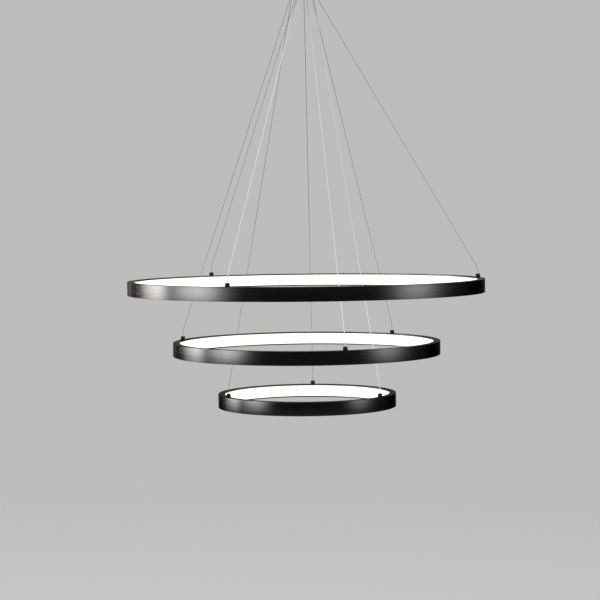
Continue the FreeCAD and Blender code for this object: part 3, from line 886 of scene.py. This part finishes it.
def anchors(name, first, material):
    """Three barrels: each a spun outline from the stud's end up to the collar."""
    stud_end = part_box(name + "_anchors")[0].z
    ring_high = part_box(name + "_channel")[1]
    seat = ring_high.z
    top = seat + BARREL_HEIGHT
    outline = [
        (0, stud_end), (STUD_RADIUS - STUD_CHAMFER, stud_end), (STUD_RADIUS, stud_end + STUD_CHAMFER),
        (STUD_RADIUS, seat), (BARREL_RADIUS - BARREL_FOOT, seat), (BARREL_RADIUS, seat + BARREL_FOOT),
        (BARREL_RADIUS, top - BARREL_CHAMFER), (BARREL_RADIUS - BARREL_CHAMFER, top),
    ]
    outline += [(radius, top - depth) for radius, depth in GROOVE_RADIUS_AND_DEPTH]
    outline += [(0, top)]
    barrels = []
    for count in range(3):
        centre = around(ring_high.x - RING_WIDTH / 2, first + THIRD_OF_TURN * count, 0)
        barrels.append(spun(name + "_anchors", outline, centre, BARREL_STEPS))
    dressed(name + "_anchors", joined(barrels), material)


for ring_name, first_line in FIRST_LINES.items():
    anchors(ring_name, first_line, black_steel)


# ---------------------------------------------------------------------------------------------------------
# The studio: a wide pale floor that fades into a pale surround, and one large soft lamp above. A low curved
# card stands round the set, and only the brushed rings take its light: bright strips at its two sides draw
# their upright highlights, and the dark card between these keeps their fronts black.

SET_STEPS = 96
FLOOR_HEIGHT = -2.0
FLOOR_RADIUS = 9.0
FLOOR_FADES_FROM = 3.0
FLOOR_GONE_AT = 8.5
SURROUND = (0.51, 0.507, 0.5, 1)
RING_LEVEL = -0.85
LAMP_PLACE = (-1.6, -2.2, 6.0)
LAMP_SIZE = 8.0
LAMP_POWER = 255.0
CARD_RADIUS = 5.0
CARD_FOOT = -3.3
CARD_TOP = -0.25
CARD_DIM_ABOVE = -0.65
CARD_DIM_BELOW = -0.5
CARD_DARK_BELOW = -2.0
CARD_BRIGHTNESS = 21.0
CARD_STRIPS = (
    (-180, 0.1), (-155, 0.2), (-140, 9.0), (-127, 18.0), (-115, 21.0), (-103, 21.0), (-92, 1.8), (-81, 8.0),
    (-70, 12.0), (-61, 9.7), (-53, 2.9), (-45, 0.35), (-38, 0.07), (0, 0.05), (42, 0.08), (51, 0.6),
    (59, 3.0), (67, 4.9), (76, 3.9), (84, 1.6), (92, 0.5), (101, 0.15), (120, 0.1), (180, 0.1),
)


def floor_finish():
    """Pale and matt below the lamp, then fading to nothing, so that no rim shows; unseen from below."""
    material, shader, start = new_finish("floor", Roughness=0.9, Specular_IOR_Level=0.1)
    place = start.place()
    grain = start.noise(place, scale=30.0)
    drive(shader, "Base Color", start.blend(grain, (0.79, 0.785, 0.775, 1), (0.82, 0.815, 0.805, 1)))
    distance = start.node("ShaderNodeVectorMath", {"operation": "LENGTH"}, {0: place}, output=1)
    fade = start.rise(distance, FLOOR_FADES_FROM, FLOOR_GONE_AT)
    from_below = start.node("ShaderNodeNewGeometry", output=6)
    unseen = start.maths("MAXIMUM", fade, from_below)
    clear = start.node("ShaderNodeBsdfTransparent")
    matt = Value(start.tree, shader.outputs[0])
    mixed = start.node("ShaderNodeMixShader", {}, {0: unseen, 1: matt, 2: clear})
    start.tree.links.new(mixed.socket, start.tree.nodes["Material Output"].inputs["Surface"])
    return material


def card_finish():
    """Glows by bearing, and dims towards its foot and towards its top.

    The bearing is the point's turn from straight behind the camera, anticlockwise as seen from above.
    """
    material, shader, start = new_finish(
        "card", Roughness=1.0, Specular_IOR_Level=0.0,
        Base_Color=(0, 0, 0, 1), Emission_Strength=CARD_BRIGHTNESS,
    )
    place = start.place()
    turn = start.maths("ARCTAN2", start.axis(place, 0), 0 - start.axis(place, 1))
    share = turn * (0.5 / math.pi) + 0.5
    stops = [(degrees / 360 + 0.5, glow / CARD_BRIGHTNESS) for degrees, glow in CARD_STRIPS]
    strips = start.node("ShaderNodeValToRGB", {"stops": stops}, {"Fac": share})
    level = start.axis(place, 2)
    above_foot = start.rise(level, CARD_DARK_BELOW, CARD_DIM_BELOW)
    below_top = start.rise(level, CARD_TOP, CARD_DIM_ABOVE)
    drive(shader, "Emission Color", start.blend(above_foot * below_top, (0.003, 0.003, 0.003, 1), strips))
    return material


def set_piece(name, points, material):
    """A piece of the set, from rows of points that each run once round it."""
    rows, columns = points.shape[:2]
    mesh = grid_mesh(name, points, False, True, np.arange(rows + 1), np.arange(columns + 1))
    mesh.materials.append(material)
    piece = bpy.data.objects.new(name, welded(mesh))
    bpy.context.scene.collection.objects.link(piece)
    return piece


around_set = np.linspace(0, 2 * np.pi, SET_STEPS, endpoint=False)
circle = np.stack([np.cos(around_set), np.sin(around_set), 0 * around_set], -1)
floor_rows = np.stack([0 * circle, FLOOR_RADIUS * circle]) + (0, 0, FLOOR_HEIGHT)
set_piece("floor", floor_rows, floor_finish())
card_rows = CARD_RADIUS * circle + np.array([[[0, 0, CARD_FOOT]], [[0, 0, CARD_TOP]]])
card = set_piece("card", card_rows, card_finish())
card.visible_camera = False
card.visible_diffuse = False
card.visible_transmission = False
card.visible_shadow = False
brushed_rings = bpy.data.collections.new("brushed rings")
for ring_name in FIRST_LINES:
    brushed_rings.objects.link(bpy.data.objects[ring_name + "_channel_finished"])
card.light_linking.receiver_collection = brushed_rings

world = bpy.data.worlds.new("surround")
world.use_nodes = True
world.node_tree.nodes["Background"].inputs["Color"].default_value = SURROUND
bpy.context.scene.world = world

light = bpy.data.lights.new("overhead", "AREA")
light.size = LAMP_SIZE
light.energy = LAMP_POWER
lamp = bpy.data.objects.new("overhead", light)
bpy.context.scene.collection.objects.link(lamp)
lamp.location = LAMP_PLACE
lamp_aim = Vector((0, 0, RING_LEVEL)) - Vector(LAMP_PLACE)
lamp.rotation_euler = lamp_aim.to_track_quat("-Z", "Y").to_euler()
lamp.visible_camera = False


# ---------------------------------------------------------------------------------------------------------
# The camera: a little above the large ring and 3.7 m in front of the lamp, looking very slightly down, as
# photographed.

SENSOR_WIDTH = 36.0
FOCAL_SHARE = 1662 / 600
CAMERA_PLACE = (-0.0295, -3.732, -0.5604)
CAMERA_PITCH = 2.846
CAMERA_ROLL = 0.6
CAMERA_TURN = -0.268

camera_data = bpy.data.cameras.new("camera")
camera_data.sensor_width = SENSOR_WIDTH
camera_data.lens = SENSOR_WIDTH * FOCAL_SHARE
camera = bpy.data.objects.new("camera", camera_data)
bpy.context.scene.collection.objects.link(camera)
camera.location = CAMERA_PLACE
camera.rotation_mode = "XYZ"
camera.rotation_euler = [math.radians(turn) for turn in (90 - CAMERA_PITCH, CAMERA_ROLL, CAMERA_TURN)]
bpy.context.scene.camera = camera
bpy.context.scene.view_settings.view_transform = "Standard"
